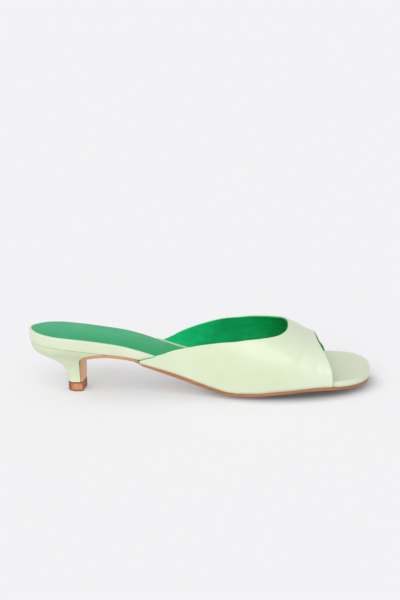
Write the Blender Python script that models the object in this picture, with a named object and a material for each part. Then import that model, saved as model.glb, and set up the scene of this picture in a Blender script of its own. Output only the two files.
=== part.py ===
"""Kitten heel mule, a right shoe, as separate pieces in metres.

X runs from the heel to the toe, -Y is the shoe's outer side and +Y its inner side. Z is the height above the floor.
"""

import math

import bmesh
import bpy

# Footbed, seen from above
LENGTH = 0.2411  # back of the heel to the tip of the toe
SEAT_WIDTH = 0.0466  # at the heel
BALL_WIDTH = 0.0750  # at the ball
HEEL_ROUND = 0.0260  # length of the round back
TOE_ROUND = 0.0310  # length of the soft square toe
TOE_SQUARE = 2.4  # 2 is an ellipse, more is squarer

# Footbed, seen from the side
HEEL_RISE = 0.0353  # heel seat above the forefoot
TOE_SPRING = 0.0036  # tip of the toe above the forefoot
RIM_RISE = 0.0022  # rim of the forefoot above its middle
RIM_REACH = 0.0120  # width of the rim that curves up
BOARD_HEEL = 0.0068  # padded board at the heel
BOARD_TOE = 0.0026  # and at the toe
BOARD_ROUND = 0.0016  # its wrapped top edge

# Sock lining
SOCK = 0.0010
SOCK_INSET = 0.0020  # pale rim left round the sock
SOCK_ROUND = 0.0003
SOCK_FRONT = 0.770  # share of the length that the sock covers

# Outsole
TREAD = 0.00175  # leather at the forefoot
WAIST_SOLE = 0.0013  # leather under the arch and down the breast
SOLE_ROUND = 0.0005  # its rounded lower edge
SOLE_SPREAD = 0.0011  # past the footbed, where it carries the upper
SOLE_INSET = 0.0006  # inside the footbed elsewhere
SPREAD_START = 0.0200  # it spreads over this length from the wings' tips
SPREAD_END = 0.0100  # and draws in over this length before the toe opening
FULL_SOLE = 0.580  # share of the length from which the sole has its full thickness
FLAP_TAPER = 0.8  # share of the flap's half width that its inner loops give up

# Upper
WALL = 0.0018  # leather and lining
INSTEP = 0.0576  # highest crown of the last above the footbed
CROWN_SQUARE = 2.5  # 2 is an elliptical section, more is squarer
FEATHER = 0.0022  # outer radius where the wall turns under the footbed
MARGIN = 0.0065  # width turned under the footbed
MARGIN_ROOM = 0.0012  # between the margin and the step in the footbed beside it
WING_TIP = 0.331  # share of the length at the rear tip of the wings
INNER_WING = 0.0030  # the inner wing ends this much farther forward
WING_FADE = 0.85  # turn of the topline from which it does so
LEAN_ROOM = 0.00015  # more room for the margin, because the wall leans where the sole slopes
STEP_RUN = 0.0050  # length over which the sole steps down for the margin
STEP_LEAD = 0.0020  # the step ends this far behind the wing's tip

# Heel and its tip
BREAST = 0.0355  # breast of the heel, from the back of the shoe
BREAST_TURN = math.radians(7.0)  # breast faces a little outwards
TURN_HELD = 0.34  # share of the way up the breast and along the arch that keeps this turn
TURN_GONE = 0.90  # and where none of it is left
FLARE_LENGTH = 0.0207  # breast curves into the arch over this length
FLARE_DROP = 0.0089  # and this height
FLARE_SQUARE = 2.5
LIP = 0.0547  # front lip of the heel, from the back of the shoe
HEEL_INSET = 0.0004  # inside the footbed at the seat
HEEL_ROUND_SEAT = 0.49  # share of a ring's depth that its round back takes at the seat
HEEL_ROUND_STEM = 0.72  # and towards the tip
LIFT_ROUND = 0.65  # and at the tip itself
LIFT_HEIGHT = 0.0065
LIFT_SPREAD = 0.0002  # the tip stands proud of the heel

GAP = 0.0003  # between pieces that touch

HEEL_BACK = -LENGTH / 2
TOE_TIP = LENGTH / 2

# The outline in plan: share of the length, the width it follows, outer and inner share of that width
PLAN = [
    (0.000, SEAT_WIDTH, 0.498, 0.498),
    (0.110, SEAT_WIDTH, 0.502, 0.502),
    (0.160, SEAT_WIDTH, 0.508, 0.496),
    (0.230, SEAT_WIDTH, 0.512, 0.468),
    (0.315, SEAT_WIDTH, 0.506, 0.420),
    (0.397, SEAT_WIDTH, 0.506, 0.382),
    (0.438, BALL_WIDTH, 0.327, 0.240),
    (0.500, BALL_WIDTH, 0.376, 0.288),
    (0.562, BALL_WIDTH, 0.431, 0.355),
    (0.624, BALL_WIDTH, 0.475, 0.427),
    (0.686, BALL_WIDTH, 0.496, 0.480),
    (0.748, BALL_WIDTH, 0.499, 0.501),
    (0.810, BALL_WIDTH, 0.483, 0.500),
    (0.872, BALL_WIDTH, 0.459, 0.490),
    (1.000, BALL_WIDTH, 0.445, 0.472),
]

# The last from the side: share of the length, then shares of the heel rise, toe spring, rim rise and board at the heel
FORM = [
    (0.000, 1.000, 0.00, 0.00, 1.00),
    (0.149, 0.854, 0.00, 0.00, 1.00),
    (0.219, 0.785, 0.00, 0.00, 0.95),
    (0.277, 0.729, 0.00, 0.00, 0.82),
    (0.335, 0.634, 0.00, 0.00, 0.65),
    (0.390, 0.503, 0.00, 0.10, 0.55),
    (0.448, 0.346, 0.00, 0.40, 0.50),
    (0.505, 0.192, 0.00, 0.75, 0.45),
    (0.562, 0.058, 0.00, 0.95, 0.40),
    (0.585, 0.019, 0.00, 0.98, 0.38),
    (0.612, 0.000, 0.00, 1.00, 0.36),
    (0.669, 0.000, 0.00, 1.00, 0.30),
    (0.707, 0.000, 0.20, 1.00, 0.25),
    (0.769, 0.000, 0.48, 1.00, 0.16),
    (0.831, 0.000, 0.76, 0.90, 0.08),
    (0.893, 0.000, 0.90, 0.70, 0.00),
    (1.000, 0.000, 1.00, 0.50, 0.00),
]

# Crown of the last above the footbed's rim: share of the length, share of the instep
CROWN = [
    (0.300, 0.360),
    (0.384, 0.470),
    (0.438, 0.660),
    (0.500, 0.870),
    (0.562, 0.990),
    (0.624, 0.865),
    (0.686, 0.726),
    (0.727, 0.636),
    (0.764, 0.556),
    (0.784, 0.508),
    (0.813, 0.427),
    (0.832, 0.382),
    (0.884, 0.292),
]

# The topline: share of the length, and how far it has turned from the crown, 0, to the footbed's rim, 1
TOPLINE = [
    (0.764, 0.000),
    (0.763, 0.080),
    (0.760, 0.160),
    (0.753, 0.252),
    (0.738, 0.360),
    (0.712, 0.456),
    (0.672, 0.546),
    (0.624, 0.641),
    (0.562, 0.745),
    (0.500, 0.801),
    (0.438, 0.872),
    (0.401, 0.948),
    (0.370, 1.000),
]

# The toe opening, from its outer foot over the crown to its inner foot, farthest back over the big toe:
# turn as above with the outer side negative, share of the length
OPENING = [
    (-2.00, 0.8840),
    (-1.00, 0.8842),
    (-0.82, 0.8830),
    (-0.66, 0.8780),
    (-0.45, 0.8690),
    (-0.22, 0.8560),
    (0.00, 0.8450),
    (0.20, 0.8385),
    (0.36, 0.8370),
    (0.50, 0.8410),
    (0.66, 0.8500),
    (0.82, 0.8610),
    (1.00, 0.8740),
    (2.00, 0.8760),
]

# The heel from its tip to its seat: share of its height at the back, share of the breast's distance from the back,
# share of the footbed's width, and share of the way up the breast and along the arch to the lip
HEEL = [
    (0.000, 0.256, 0.290, 0.000),
    (0.055, 0.254, 0.292, 0.045),
    (0.145, 0.266, 0.308, 0.118),
    (0.252, 0.298, 0.342, 0.207),
    (0.351, 0.360, 0.395, 0.287),
    (0.450, 0.465, 0.474, 0.355),
    (0.550, 0.610, 0.580, 0.430),
    (0.640, 0.755, 0.700, 0.500),
    (0.740, 0.895, 0.835, 0.590),
    (0.850, 0.970, 0.945, 0.730),
    (0.940, 0.992, 0.985, 0.900),
    (0.985, 0.996, 1.000, 1.000),
]

END_STEPS = 7  # stations round the heel's back and the toe
SIDE_STEPS = 33  # stations along the sides between them
STEP_STATIONS = 3  # and over the sole's step
ACROSS_STEPS = 3
STRAND_STEPS = 19  # along each line of the upper, from topline to toe opening
WING_STEPS = 3  # down each wing's rear edge to the feather
FEATHER_STEPS = 3
MARGIN_STEPS = 2
BREAST_STEPS = 6
FLARE_STEPS = 12
FLAP_STEPS = 16
BACK_STEPS = 8  # round the back of each ring of the heel
FLANK_STEPS = 6  # from there to the breast


def curve(rows, column):
    """A smooth curve through one column of a table, which never overshoots its rows."""
    places = [row[0] for row in rows]
    values = [row[column] for row in rows]
    runs = [b - a for a, b in zip(places, places[1:])]
    grades = [(b - a) / run for a, b, run in zip(values, values[1:], runs)]
    slopes = [grades[0]]
    for left, right in zip(grades, grades[1:]):
        slopes.append(2 * left * right / (left + right) if left * right > 0 else 0.0)
    slopes.append(grades[-1])

    def at(way):
        way = min(max(way, places[0]), places[-1])
        k = max(i for i in range(len(runs)) if places[i] <= way)
        t = (way - places[k]) / runs[k]
        start = (1 + 2 * t) * (1 - t) ** 2 * values[k] + t * (1 - t) ** 2 * runs[k] * slopes[k]
        end = t * t * (3 - 2 * t) * values[k + 1] - t * t * (1 - t) * runs[k] * slopes[k + 1]
        return start + end

    return at


def place(share):
    return HEEL_BACK + share * LENGTH


def share(x):
    return (x - HEEL_BACK) / LENGTH


def ease(t):
    t = min(max(t, 0.0), 1.0)
    return t * t * (3 - 2 * t)


OUTER_WIDTH = curve([(s, width * outer) for s, width, outer, inner in PLAN], 1)
INNER_WIDTH = curve([(s, width * inner) for s, width, outer, inner in PLAN], 1)
PITCH = curve(FORM, 1)
SPRING = curve(FORM, 2)
RIM = curve(FORM, 3)
BOARD = curve(FORM, 4)
CROWN_HEIGHT = curve(CROWN, 1)
OPENING_AT = curve(OPENING, 1)
OPENING_FOOT = OPENING[0][1]


def full_width(x, side):
    return side * (INNER_WIDTH(share(x)) if side > 0 else OUTER_WIDTH(share(x)))


def edge(x, side):
    """Y of the footbed's edge, with the round heel and the soft square toe."""
    back = 1 - min(max((x - HEEL_BACK) / HEEL_ROUND, 0.0), 1.0)
    front = 1 - min(max((TOE_TIP - x) / TOE_ROUND, 0.0), 1.0)
    return full_width(x, side) * (1 - back**2) ** 0.5 * (1 - front**TOE_SQUARE) ** (1 / TOE_SQUARE)


def plan(x, side, inset):
    """The point this far inside the footbed's outline, measured squarely from its edge at x."""
    step = 1e-6
    if x < HEEL_BACK + step:
        return HEEL_BACK + inset, 0.0
    if x > TOE_TIP - step:
        return TOE_TIP - inset, 0.0
    run = 2 * step
    rise = edge(x + step, side) - edge(x - step, side)
    reach = inset * side / math.hypot(run, rise)
    return x + rise * reach, edge(x, side) - run * reach


def seat(x):
    """Height of the footbed's underside over the middle of the foot."""
    return TREAD + LEAN_ROOM + WALL + 2 * GAP + HEEL_RISE * PITCH(share(x)) + TOE_SPRING * SPRING(share(x))


def rim(x, inset):
    """How much higher the sole's rim is than its middle."""
    return RIM_RISE * RIM(share(x)) * max(0.0, 1 - inset / RIM_REACH) ** 2


def board(x):
    return BOARD_TOE + (BOARD_HEEL - BOARD_TOE) * BOARD(share(x))


def margin_step(x):
    """How far the sole steps down below the footbed to take the upper's margin."""
    return (WALL + GAP + LEAN_ROOM) * ease((x - place(WING_TIP) + STEP_LEAD) / STEP_RUN + 1)


def stations(rear, front):
    """Places from rear to front, close together where the heel and the toe are round."""
    turns = [math.pi / 2 * k / END_STEPS for k in range(END_STEPS)]
    back = [HEEL_BACK + HEEL_ROUND * (1 - math.cos(turn)) for turn in turns]
    tip = [TOE_TIP - TOE_ROUND * (1 - math.cos(turn) ** (2 / TOE_SQUARE)) for turn in reversed(turns)]
    start = HEEL_BACK + HEEL_ROUND
    side_run = (LENGTH - HEEL_ROUND - TOE_ROUND) / SIDE_STEPS
    sides = [start + side_run * k for k in range(SIDE_STEPS + 1)]
    inside = [x for x in back + sides + tip if rear + side_run / 3 < x < front - side_run / 3]
    if rear <= HEEL_BACK:
        inside = [x for x in back if x <= rear + side_run / 3][1:] + inside
    if front >= TOE_TIP:
        inside = inside + [x for x in tip if x >= front - side_run / 3][:-1]
    step_end = place(WING_TIP) - STEP_LEAD
    inside = [x for x in inside if abs(x - step_end + STEP_RUN / 2) > STEP_RUN / 2 + side_run / 4]
    inside = inside + [step_end - STEP_RUN * k / STEP_STATIONS for k in range(STEP_STATIONS + 1)]
    return [rear] + sorted(inside) + [front]


def across(bm, start, end):
    """Vertices on the straight line between two others, with both of them."""
    if start is end:
        return [start]
    steps = range(1, ACROSS_STEPS)
    return [start] + [bm.verts.new(start.co.lerp(end.co, k / ACROSS_STEPS)) for k in steps] + [end]


def closed_body(name, loops, material):
    """One solid through closed loops, each a list of (outer point, inner point) rows from rear to front."""
    bm = bmesh.new()
    rings = []
    for loop in loops:
        outer = [bm.verts.new(a) for a, b in loop]
        inner = [v if a == b else bm.verts.new(b) for v, (a, b) in zip(outer, loop)]
        front = across(bm, outer[-1], inner[-1])
        rear = across(bm, inner[0], outer[0])
        around = outer[:-1] + front + inner[-2:0:-1] + rear[:-1]
        rings.append((around, outer, inner, front, rear))
    for (low, *_), (high, *_) in zip(rings, rings[1:]):
        for k in range(len(low)):
            m = (k + 1) % len(low)
            bm.faces.new((low[k], low[m], high[m], high[k]))
    for _, outer, inner, front, rear in (rings[0], rings[-1]):
        rows = [rear[::-1]] + [across(bm, a, b) for a, b in zip(outer[1:-1], inner[1:-1])] + [front]
        for near, far in zip(rows, rows[1:]):
            for k in range(ACROSS_STEPS):
                corners = [near[min(k, len(near) - 1)], near[min(k + 1, len(near) - 1)]]
                corners += [far[min(k + 1, len(far) - 1)], far[min(k, len(far) - 1)]]
                bm.faces.new(list(dict.fromkeys(corners)))
    bmesh.ops.recalc_face_normals(bm, faces=bm.faces[:])
    return finished(name, bm, material)


def finished(name, bm, material):
    mesh = bpy.data.meshes.new(name)
    bm.to_mesh(mesh)
    bm.free()
    mesh.materials.append(material)
    mesh.shade_smooth()
    mesh.set_sharp_from_angle(angle=math.radians(40))
    piece = bpy.data.objects.new(name, mesh)
    bpy.context.scene.collection.objects.link(piece)
    return piece


def layer(places, inset, height):
    """A loop at one inset all round the footbed's outline. height gives Z from x and the inset."""
    loop = []
    for x in places:
        pair = []
        for side in (-1, 1):
            px, py = plan(x, side, inset)
            pair.append((px, py, height(px, inset)))
        loop.append(pair)
    return loop


def footbed_top(x, inset):
    return seat(x) + rim(x, inset) + board(x)


def footbed(material):
    """The padded board: rebated underneath for the upper's margin, and lowered onto the sole inside it."""
    rebate_front = place(OPENING_FOOT) + GAP
    places = stations(HEEL_BACK, TOE_TIP)
    places = sorted(places + [rebate_front, rebate_front + GAP])

    def underside(x, inset):
        return seat(x) + rim(x, inset) - margin_step(x)

    def rebated(inset):
        loop = []
        for x in places:
            pair = []
            for side in (-1, 1):
                px, py = plan(x, side, inset)
                low = underside(px, inset) if x > rebate_front else underside(px, inset) + margin_step(px)
                pair.append((px, py, low))
            loop.append(pair)
        return loop

    def top(drop):
        return lambda x, inset: footbed_top(x, inset) - drop

    low_round = BOARD_ROUND / 2
    bend = BOARD_ROUND * (1 - math.cos(math.pi / 4))
    bottom_edge = rebated(low_round)
    foot_of_side = rebated(0.0)
    foot_of_side = [[(px, py, pz + low_round) for px, py, pz in pair] for pair in foot_of_side]
    loops = [
        layer(places, RIM_REACH, underside),
        layer(places, MARGIN + MARGIN_ROOM + GAP, underside),
        rebated(MARGIN + MARGIN_ROOM),
        rebated(MARGIN / 2),
        bottom_edge,
        foot_of_side,
        layer(places, 0.0, top(BOARD_ROUND)),
        layer(places, bend, top(bend)),
        layer(places, BOARD_ROUND, footbed_top),
        layer(places, RIM_REACH / 2, footbed_top),
        layer(places, RIM_REACH, footbed_top),
    ]
    return closed_body("footbed", loops, material)


def sock(material):
    """The sock lining, lying on the footbed from the heel to under the vamp."""
    places = stations(HEEL_BACK, place(SOCK_FRONT))

    def level(height):
        return lambda x, inset: footbed_top(x, inset) + GAP + height

    loops = [
        layer(places, RIM_REACH, level(0.0)),
        layer(places, RIM_REACH / 2, level(0.0)),
        layer(places, SOCK_INSET, level(0.0)),
        layer(places, SOCK_INSET, level(SOCK - SOCK_ROUND)),
        layer(places, SOCK_INSET + SOCK_ROUND, level(SOCK)),
        layer(places, RIM_REACH / 2, level(SOCK)),
        layer(places, RIM_REACH, level(SOCK)),
    ]
    return closed_body("sock", loops, material)


def breast_line():
    """The sole's inner face from the tip of the heel up the breast and along the arch, as (x, z) points."""
    breast = HEEL_BACK + BREAST
    arch = breast + FLARE_LENGTH
    arch_height = seat(arch) - GAP
    foot = LIFT_HEIGHT + GAP
    knee = arch_height - FLARE_DROP
    line = [(breast, foot + (knee - foot) * k / BREAST_STEPS) for k in range(BREAST_STEPS)]
    for k in range(FLARE_STEPS + 1):
        turn = math.pi / 2 * k / FLARE_STEPS
        run = FLARE_LENGTH * (1 - math.cos(turn) ** (2 / FLARE_SQUARE))
        line.append((breast + run, knee + FLARE_DROP * math.sin(turn) ** (2 / FLARE_SQUARE)))
    return line


def breast_stations(steps):
    """Evenly spaced places on the breast line: share of the way, point, and the way out of the sole's outer face."""
    line = breast_line()
    lengths = [0.0]
    for (ax, az), (bx, bz) in zip(line, line[1:]):
        lengths.append(lengths[-1] + math.hypot(bx - ax, bz - az))
    found = []
    for way in steps:
        target = way * lengths[-1]
        k = min(max(i for i in range(len(lengths)) if lengths[i] <= target), len(line) - 2)
        (ax, az), (bx, bz) = line[k], line[k + 1]
        run = lengths[k + 1] - lengths[k]
        t = (target - lengths[k]) / run
        before = line[max(k - 1, 0)]
        after = line[min(k + 2, len(line) - 1)]
        dx = (1 - t) * (bx - before[0]) + t * (after[0] - ax)
        dz = (1 - t) * (bz - before[1]) + t * (after[1] - az)
        size = math.hypot(dx, dz)
        found.append((way, ax + (bx - ax) * t, az + (bz - az) * t, dz / size, -dx / size))
    return found


def breast_shear(way, y):
    """How far the turned breast moves a point forwards, fading out along the arch."""
    return y * math.tan(BREAST_TURN) * (1 - ease((way - TURN_HELD) / (TURN_GONE - TURN_HELD)))


def lip_way():
    """Share of the breast line at which the heel's front lip ends."""
    line = breast_line()
    total = 0.0
    lip = 0.0
    for (ax, az), (bx, bz) in zip(line, line[1:]):
        run = math.hypot(bx - ax, bz - az)
        inside = min(1.0, max(0.0, (HEEL_BACK + LIP - ax) / (bx - ax))) if bx > ax else 1.0
        lip += run * inside
        total += run
    return lip / total


HEEL_WIDTH_AT = curve([(way, width) for rise, back, width, way in HEEL], 1)


def sole_leather(x):
    """Thickness of the outsole: thin under the arch, full at the forefoot."""
    filled = ease((share(x) - WING_TIP) / (FULL_SOLE - WING_TIP))
    return WAIST_SOLE + (TREAD - WAIST_SOLE) * filled


def sole_edge(x):
    """Inset of the outsole's edge from the footbed's: it spreads out where it carries the upper."""
    carried = ease((x - place(WING_TIP)) / SPREAD_START) * ease((place(OPENING_FOOT) - x) / SPREAD_END + 1)
    return SOLE_INSET - (SOLE_INSET + SOLE_SPREAD) * carried


def outsole(material):
    """The sole leather, from the toe along the arch and down the breast of the heel as a flap."""
    arch = HEEL_BACK + BREAST + FLARE_LENGTH
    places = stations(arch, TOE_TIP)[1:]
    flap = breast_stations([k / FLAP_STEPS for k in range(FLAP_STEPS + 1)])

    def loop(inset, depth_share, lift=0.0, spread=1.0):
        rows = []
        for way, x, z, nx, nz in flap:
            pair = []
            for side in (-1, 1):
                reach = abs(full_width(x, side)) * HEEL_WIDTH_AT(way) - HEEL_INSET / 2
                y = side * max(reach - inset, reach * (1 - FLAP_TAPER * inset / RIM_REACH))
                depth = WAIST_SOLE * depth_share - lift
                shear = breast_shear(way, y)
                pair.append((x + shear + nx * depth, y, z + nz * depth))
            rows.append(pair)
        for x in places:
            pair = []
            for side in (-1, 1):
                inside = inset + sole_edge(x) * spread
                px, py = plan(x, side, inside)
                top = seat(px) + rim(px, inside) - GAP - margin_step(px)
                pair.append((px, py, top - sole_leather(px) * depth_share + lift))
            rows.append(pair)
        return rows

    loops = [
        loop(RIM_REACH, 1.0, spread=0.0),
        loop(RIM_REACH / 2, 1.0, spread=0.0),
        loop(SOLE_ROUND, 1.0),
        loop(0.0, 1.0, lift=SOLE_ROUND),
        loop(0.0, 0.0),
        loop(RIM_REACH / 2, 0.0, spread=0.0),
        loop(RIM_REACH, 0.0, spread=0.0),
    ]
    return closed_body("outsole", loops, material)


def fold_drop(x, inset):
    """How far the outer face of the fold under the footbed lies below it: the gap and the wall, leaning with the sole."""
    step = 1e-4
    along = (seat(x + step) + rim(x + step, inset) - seat(x - step) - rim(x - step, inset)) / (2 * step)
    sideways = (rim(x, inset + step) - rim(x, inset - step)) / (2 * step)
    return GAP + WALL * math.hypot(1, along, sideways)


def upper_point(x, side, turn):
    """A point of the upper's outer face. turn is 0 at the crown, 1 at the footbed's rim, 2 at the feather, 3 at the
    end of the feather's curve and 4 at the end of the margin under the footbed."""
    outside = GAP + WALL
    if turn <= 1:
        wall_x, wall_y = plan(x, side, -outside)
        swing = turn * math.pi / 2
        spread = math.sin(swing) ** (2 / CROWN_SQUARE)
        height = max(math.cos(swing), 0.0) ** (2 / CROWN_SQUARE)
        px = x + (wall_x - x) * spread
        foot = footbed_top(px, -outside)
        return px, wall_y * spread, foot + INSTEP * CROWN_HEIGHT(share(px)) * height
    if turn <= 2:
        px, py = plan(x, side, -outside)
        foot = seat(px) + rim(px, -outside) - fold_drop(px, -outside) + FEATHER
        return px, py, foot + (footbed_top(px, -outside) - foot) * (2 - turn)
    if turn <= 3:
        swing = (turn - 2) * math.pi / 2
        inset = -outside + FEATHER * (1 - math.cos(swing))
        px, py = plan(x, side, inset)
        foot = seat(px) + rim(px, inset) - fold_drop(px, inset)
        return px, py, foot + FEATHER * (1 - math.sin(swing))
    start = FEATHER - outside
    inset = start + (MARGIN - start) * (turn - 3)
    px, py = plan(x, side, inset)
    return px, py, seat(px) + rim(px, inset) - fold_drop(px, inset)


def topline_rows():
    """The topline's rows with a smooth row between each two, as (x, turn)."""
    rows = []
    for k, (here, there) in enumerate(zip(TOPLINE, TOPLINE[1:])):
        before = TOPLINE[k - 1] if k else (here[0], -there[1])
        after = TOPLINE[min(k + 2, len(TOPLINE) - 1)]
        rows.append((place(here[0]), here[1]))
        middle = [(9 * (a + b) - p - n) / 16 for a, b, p, n in zip(here, there, before, after)]
        rows.append((place(middle[0]), middle[1]))
    rows.append((place(TOPLINE[-1][0]), TOPLINE[-1][1]))
    return rows


def upper_lines():
    """Lines along the upper, from the crown to the end of the margin: (rear x at the topline, turn)."""
    tip = place(WING_TIP)
    lines = topline_rows()
    rear = lines[-1][0]
    downs = [k / WING_STEPS for k in range(1, WING_STEPS + 1)]
    lines += [(rear + (tip - rear) * down, 1 + down) for down in downs]
    lines += [(tip, 2 + k / FEATHER_STEPS) for k in range(1, FEATHER_STEPS + 1)]
    return lines + [(tip, 3 + k / MARGIN_STEPS) for k in range(1, MARGIN_STEPS + 1)]


def upper(material):
    """The vamp with its two wings: one wall, folded under the footbed, open at throat and toe and between its margins."""
    lines = upper_lines()
    around = [(-1, line) for line in reversed(lines)] + [(1, line) for line in lines[1:]]
    bm = bmesh.new()
    grid = []
    for side, (rear, turn) in around:
        if side > 0:
            rear += INNER_WING * ease((turn - WING_FADE) / (1 - WING_FADE))
        run = (place(OPENING_AT(side * turn)) - rear) / STRAND_STEPS
        grid.append([bm.verts.new(upper_point(rear + run * k, side, turn)) for k in range(STRAND_STEPS + 1)])
    for near, far in zip(grid, grid[1:]):
        for k in range(STRAND_STEPS):
            bm.faces.new((near[k], near[k + 1], far[k + 1], far[k]))
    piece = finished("upper", bm, material)
    wall = piece.modifiers.new("wall", "SOLIDIFY")
    wall.thickness = WALL
    wall.offset = -1.0
    wall.use_even_offset = True
    wall.use_rim = True
    return piece


def heel(material):
    """The covered heel: rings from its small tip to the seat, each round behind and straight at the breast."""
    lip = lip_way()
    lines = breast_stations([row[3] * lip for row in HEEL])
    seat_back = seat(HEEL_BACK) - GAP
    foot = LIFT_HEIGHT + GAP
    loops = []
    for (rise, back, width, _), (way, fx, fz, nx, nz) in zip(HEEL, lines):
        rear_x = HEEL_BACK + HEEL_INSET + (BREAST - HEEL_INSET) * (1 - back)
        rear_z = foot + (seat_back - foot) * rise
        front_x, front_z = fx - nx * GAP, fz - nz * GAP
        round_share = HEEL_ROUND_SEAT + (HEEL_ROUND_STEM - HEEL_ROUND_SEAT) * (1 - width)
        loops.append(heel_ring(rear_x, rear_z, front_x, front_z, width, round_share, way))
    top = []
    for outer, inner in loops[-1]:
        top.append([(px, py, seat(px) - GAP) for px, py, pz in (outer, inner)])
    loops.append(top)
    return closed_body("heel", loops, material)


def heel_ring(rear_x, rear_z, front_x, front_z, width, round_share, way):
    """One ring of the heel from its round back to its straight breast."""
    ring = []
    for k in range(BACK_STEPS + FLANK_STEPS + 1):
        half_turn = math.pi / 2 * min(1.0, k / BACK_STEPS)
        flank = max(0.0, (k - BACK_STEPS) / FLANK_STEPS)
        along = round_share * (1 - math.cos(half_turn)) + (1 - round_share) * flank
        x = rear_x + (front_x - rear_x) * along
        z = rear_z + (front_z - rear_z) * along
        pair = []
        for side in (-1, 1):
            y = (full_width(x, side) * width - side * HEEL_INSET * width) * math.sin(half_turn)
            pair.append((x + breast_shear(way, y) * along, y, z))
        ring.append(pair)
    return ring


def top_lift(material):
    """The heel tip: the heel's lowest ring and the sole's flap, standing on the floor."""
    width = HEEL[0][2]
    rear_x = HEEL_BACK + HEEL_INSET + (BREAST - HEEL_INSET) * (1 - HEEL[0][1]) - LIFT_SPREAD
    front_x = HEEL_BACK + BREAST + WAIST_SOLE
    wide = width * (1 + 2 * LIFT_SPREAD / (SEAT_WIDTH * width))
    loops = [heel_ring(rear_x, z, front_x, z, wide, LIFT_ROUND, 0.0) for z in (0.0, LIFT_HEIGHT)]
    return closed_body("top_lift", loops, material)


def material(name, colour, roughness):
    """A plain finish. colour is an sRGB hex value."""
    made = bpy.data.materials.new(name)
    made.use_nodes = True
    shader = made.node_tree.nodes["Principled BSDF"]
    parts = [int(colour[k : k + 2], 16) / 255 for k in (1, 3, 5)]
    linear = [c / 12.92 if c <= 0.04045 else ((c + 0.055) / 1.055) ** 2.4 for c in parts]
    shader.inputs["Base Color"].default_value = (*linear, 1.0)
    shader.inputs["Roughness"].default_value = roughness
    made.diffuse_color = (*linear, 1.0)
    return made


def main():
    for old in list(bpy.data.objects):
        bpy.data.objects.remove(old, do_unlink=True)
    patent = material("pale green patent leather", "#dfebc8", 0.2)
    footbed(patent)
    sock(material("green sock leather", "#46ae74", 0.5))
    outsole(material("tan sole leather", "#b5734a", 0.55))
    upper(patent)
    heel(patent)
    top_lift(material("brown heel tip", "#a8603a", 0.5))


main()
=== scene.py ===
"""Looks of the kitten heel mule, a right shoe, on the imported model.

X runs from the heel to the toe, -Y is the shoe's outer side and +Y its inner side. Z is the height above the
floor. Lengths are in metres.
"""

import math

import bmesh
import bpy
from mathutils import Matrix, Vector
from mathutils.bvhtree import BVHTree


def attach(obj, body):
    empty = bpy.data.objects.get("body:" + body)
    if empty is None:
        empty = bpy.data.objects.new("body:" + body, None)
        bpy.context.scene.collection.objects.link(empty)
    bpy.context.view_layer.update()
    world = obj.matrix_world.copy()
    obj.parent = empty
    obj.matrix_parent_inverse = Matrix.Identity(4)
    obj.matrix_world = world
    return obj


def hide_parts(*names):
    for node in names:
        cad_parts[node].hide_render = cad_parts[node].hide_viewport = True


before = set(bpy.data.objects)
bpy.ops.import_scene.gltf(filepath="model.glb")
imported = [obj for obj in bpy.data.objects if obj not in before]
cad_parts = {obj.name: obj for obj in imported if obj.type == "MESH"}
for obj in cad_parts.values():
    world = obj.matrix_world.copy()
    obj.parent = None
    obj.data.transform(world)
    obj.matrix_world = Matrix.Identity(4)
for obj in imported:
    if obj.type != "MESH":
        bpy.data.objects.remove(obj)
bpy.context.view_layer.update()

# Footbed, seen from above
LENGTH = 0.2411  # back of the heel to the tip of the toe
SEAT_WIDTH = 0.0466  # at the heel
BALL_WIDTH = 0.0750  # at the ball
HEEL_ROUND = 0.0260  # length of the round back
TOE_ROUND = 0.0310  # length of the soft square toe
TOE_SQUARE = 2.4  # 2 is an ellipse, more is squarer

# Footbed, seen from the side
HEEL_RISE = 0.0353  # heel seat above the forefoot
TOE_SPRING = 0.0036  # tip of the toe above the forefoot
RIM_RISE = 0.0022  # rim of the forefoot above its middle
RIM_REACH = 0.0120  # width of the rim that curves up
BOARD_HEEL = 0.0068  # padded board at the heel
BOARD_TOE = 0.0026  # and at the toe
BOARD_ROUND = 0.0016  # its wrapped top edge

# Sock lining
SOCK = 0.0010
SOCK_INSET = 0.0020  # pale rim left round the sock
SOCK_FRONT = 0.770  # share of the length that the sock covers

# Outsole
TREAD = 0.00175  # leather at the forefoot
WAIST_SOLE = 0.0013  # leather under the arch and down the breast
SOLE_ROUND = 0.0005  # its rounded lower edge
SOLE_SPREAD = 0.0011  # past the footbed, where it carries the upper
SOLE_INSET = 0.0006  # inside the footbed elsewhere
SPREAD_START = 0.0200  # it spreads over this length from the wings' tips
SPREAD_END = 0.0100  # and draws in over this length before the toe opening
FULL_SOLE = 0.580  # share of the length from which the sole has its full thickness
FLAP_TAPER = 0.8  # share of the flap's half width that its inner loops give up

# Upper
WALL = 0.0018  # leather and lining
INSTEP = 0.0576  # highest crown of the last above the footbed
CROWN_SQUARE = 2.5  # 2 is an elliptical section, more is squarer
FEATHER = 0.0022  # outer radius where the wall turns under the footbed
MARGIN = 0.0065  # width turned under the footbed
MARGIN_ROOM = 0.0012  # between the margin and the step in the footbed beside it
WING_TIP = 0.331  # share of the length at the rear tip of the wings
INNER_WING = 0.0030  # the inner wing ends this much farther forward
WING_FADE = 0.70  # turn of the topline from which it starts to
LEAN_ROOM = 0.00015  # more room for the margin, because the wall leans where the sole slopes
STEP_RUN = 0.0050  # length over which the sole steps down for the margin
STEP_LEAD = 0.0020  # the step ends this far behind the wing's tip

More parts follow.
